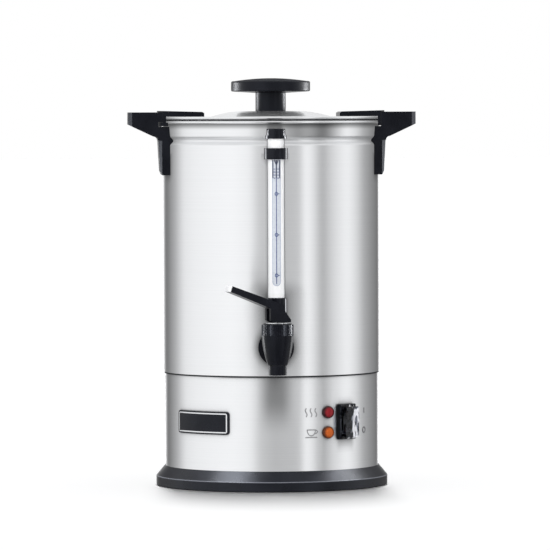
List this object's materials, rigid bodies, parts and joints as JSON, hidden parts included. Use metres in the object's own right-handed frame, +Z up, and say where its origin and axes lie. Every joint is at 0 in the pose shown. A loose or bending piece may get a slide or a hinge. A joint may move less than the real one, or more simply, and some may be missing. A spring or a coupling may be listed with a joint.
{
  "type": "coffee urn",
  "caption": "Brushed steel coffee urn with twist-lock lid, side handles, level gauge, lever tap, percolator basket, heated housing, rocker switch and black base.",
  "frame": {"origin": "on the urn's axis, at the table that its foot ring stands on", "axes": "+Z up along the urn's axis, tap and gauge towards -Y, handles along X"},
  "size_m": [0.293, 0.2952, 0.4164],
  "materials": {
    "brushed_steel": "horizontally brushed stainless steel",
    "inner_steel": "plain stainless sheet",
    "screw_steel": "bright plated steel",
    "black_plastic": "fine-grained black moulding",
    "tap_plastic": "satin black moulding",
    "rocker_plastic": "gloss black",
    "black_rubber": "matt",
    "pale_rubber": "translucent silicone",
    "clear_tube": "clear",
    "clear_boot": "clear glossy",
    "scale_print": "printed film",
    "heater_aluminium": "cast",
    "element_steel": "oxidised",
    "thermostat_plastic": "ceramic white",
    "wire_insulation": "silicone insulation",
    "contact_brass": "plain",
    "badge_black": "gloss black",
    "badge_silver": "bright",
    "lens_red": "clear red",
    "lens_amber": "clear amber"
  },
  "bodies": {
    "urn": {"tank": "brushed_steel", "housing": "brushed_steel", "base_plate": "inner_steel", "base_screws": "screw_steel", "tie_rod": "screw_steel", "tie_nut": "screw_steel", "handle_screws": "screw_steel", "collar_screw": "screw_steel", "tap_spring": "screw_steel", "switch_pin": "screw_steel", "inlet_screws": "screw_steel", "tap_shank": "screw_steel", "tap_nut": "screw_steel", "base_ring": "black_plastic", "handle_left": "black_plastic", "handle_right": "black_plastic", "power_inlet": "black_plastic", "switch_body": "black_plastic", "gauge_cap": "tap_plastic", "gauge_collar": "tap_plastic", "gauge_tee": "tap_plastic", "tap_flange": "tap_plastic", "tap_body": "tap_plastic", "tap_bonnet": "tap_plastic", "foot_ring": "black_rubber", "handle_washers": "pale_rubber", "gauge_seal": "pale_rubber", "tap_seal_outer": "pale_rubber", "tap_seal_inner": "pale_rubber", "gauge_tube": "clear_tube", "switch_boot": "clear_boot", "gauge_scale": "scale_print", "heater_plate": "heater_aluminium", "heater_element": "element_steel", "warm_thermostat": "thermostat_plastic", "thermal_cutout": "thermostat_plastic", "lamp_holders": "thermostat_plastic", "wiring": "wire_insulation", "switch_terminals": "contact_brass", "inlet_pins": "contact_brass", "badge": "badge_black", "badge_frame": "badge_silver", "lamp_red": "lens_red", "lamp_amber": "lens_amber"},
    "lid_seal": {"lid_seal": "black_rubber"},
    "lid": {"lid": "brushed_steel", "lid_knob": "black_plastic", "knob_screw": "screw_steel", "lid_tab_left": "black_plastic", "lid_tab_right": "black_plastic", "tab_screws": "screw_steel"},
    "percolator": {"pump_tube": "inner_steel", "coffee_basket": "inner_steel", "basket_spreader": "inner_steel"},
    "tap_swivel": {"lever_washer": "screw_steel"},
    "tap_valve": {"tap_stem": "screw_steel", "seat_cup": "pale_rubber"},
    "tap_lever": {"tap_lever": "tap_plastic", "lever_pin": "tap_plastic"},
    "switch": {"switch_rocker": "rocker_plastic"}
  },
  "joints": [
    {"name": "lid_lift", "type": "slide", "parent": "urn", "child": "lid_seal", "axis": [0, 0, 1], "range_m": [0, 0.2]},
    {"name": "lid_twist", "type": "hinge", "parent": "lid_seal", "child": "lid", "pos_m": [0, 0, 0.376], "axis": [0, 0, 1], "range_deg": [-9, 20]},
    {"name": "percolator_lift", "type": "slide", "parent": "urn", "child": "percolator", "axis": [0, 0, 1], "range_m": [0, 0.02]},
    {"name": "tap_swivel", "type": "hinge", "parent": "urn", "child": "tap_swivel", "pos_m": [0, -0.15, 0.17], "axis": [0, 0, 1], "range_deg": [-42, 178]},
    {"name": "tap_stem", "type": "slide", "parent": "tap_swivel", "child": "tap_valve", "axis": [0, 0, 1], "range_m": [0, 0.00276], "deforming": ["tap_spring"]},
    {"name": "tap_lever", "type": "hinge", "parent": "tap_valve", "child": "tap_lever", "pos_m": [0, -0.15, 0.1814], "axis": [0.3746, -0.9272, 0], "range_deg": [0, 35], "stiffness_Nm_per_rad": 0.08, "springref_deg": -14.32},
    {"name": "switch_rocker", "type": "hinge", "parent": "urn", "child": "switch", "pos_m": [0.07158, -0.08234, 0.069], "axis": [-0.7547, -0.6561, 0], "range_deg": [0, 16]}
  ],
  "couplings": [
    {"joint": "tap_stem", "follows": "tap_lever", "m_per_rad": 0.0045}
  ]
}
